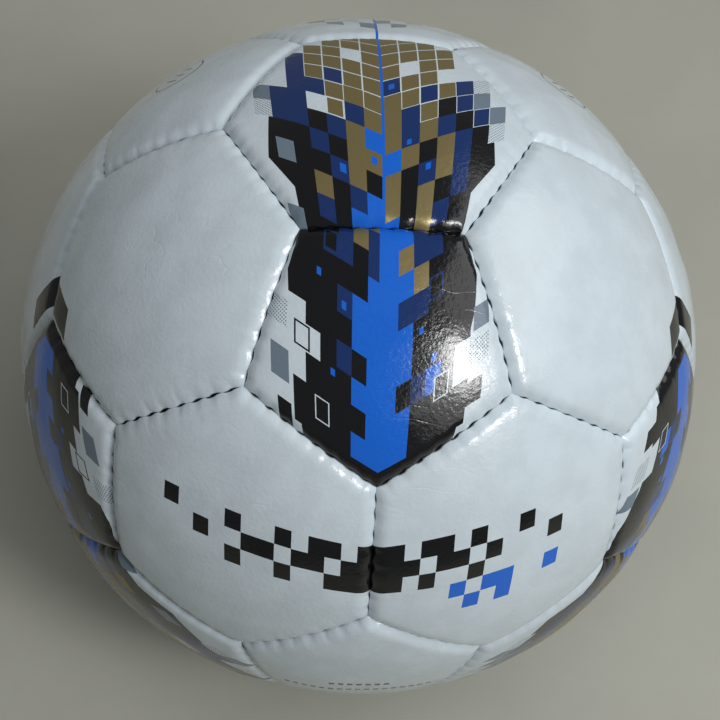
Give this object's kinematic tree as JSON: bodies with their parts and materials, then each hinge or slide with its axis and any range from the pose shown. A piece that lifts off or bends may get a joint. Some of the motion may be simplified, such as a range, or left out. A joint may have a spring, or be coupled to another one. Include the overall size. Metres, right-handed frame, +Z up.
{
  "type": "soccer ball",
  "caption": "Hand-stitched indoor football of glossy white and printed pentagon and hexagon panels round an air bladder with a needle valve.",
  "frame": {"origin": "the ball's centre", "axes": "+Y out of the inflation valve, along the seam pattern's five-fold axis; +Z up through the middle of the uppermost printed strip; +X to the right seen from the front"},
  "size_m": [0.2004, 0.2005, 0.2006],
  "materials": {
    "white_skin": "glossy polyurethane with a fine grain",
    "printed_skin": "very glossy polyurethane with a printed pattern of slanted cells",
    "faded_print_skin": "glossy polyurethane with the print fading out",
    "cloth_lining": "woven cotton and polyester",
    "thread": "waxed five-ply polyester",
    "bladder_rubber": "smooth butyl rubber",
    "valve_rubber": "matt black rubber",
    "damping_foam": "soft open foam"
  },
  "bodies": {
    "root": {"front_pentagon": "white_skin", "valve_pentagon": "white_skin", "printed_pentagon_1": "printed_skin", "printed_pentagon_2": "printed_skin", "printed_pentagon_3": "printed_skin", "printed_pentagon_4": "printed_skin", "printed_pentagon_5": "printed_skin", "printed_pentagon_6": "printed_skin", "plain_pentagon_1": "white_skin", "plain_pentagon_2": "white_skin", "plain_pentagon_3": "white_skin", "plain_pentagon_4": "white_skin", "printed_hexagon_1": "printed_skin", "printed_hexagon_2": "printed_skin", "printed_hexagon_3": "printed_skin", "printed_hexagon_4": "printed_skin", "printed_hexagon_5": "printed_skin", "printed_hexagon_6": "printed_skin", "left_tip_hexagon_1": "white_skin", "right_tip_hexagon_1": "white_skin", "left_tip_hexagon_2": "white_skin", "right_tip_hexagon_2": "white_skin", "left_tip_hexagon_3": "white_skin", "right_tip_hexagon_3": "white_skin", "left_tip_hexagon_4": "white_skin", "right_tip_hexagon_4": "white_skin", "left_tip_hexagon_5": "white_skin", "right_tip_hexagon_5": "white_skin", "left_tip_hexagon_6": "white_skin", "right_tip_hexagon_6": "white_skin", "lower_hub_hexagon": "faded_print_skin", "upper_hub_hexagon": "faded_print_skin", "pentagon_linings": "cloth_lining", "valve_patch": "cloth_lining", "printed_hexagon_linings": "cloth_lining", "left_tip_hexagon_linings": "cloth_lining", "right_tip_hexagon_linings": "cloth_lining", "hub_hexagon_linings": "cloth_lining", "pentagon_seam_threads": "thread", "hexagon_seam_threads": "thread", "bladder": "bladder_rubber", "balance_patch": "bladder_rubber", "valve_boot": "valve_rubber", "valve_plug": "valve_rubber", "damping_foam": "damping_foam"}
  },
  "joints": []
}
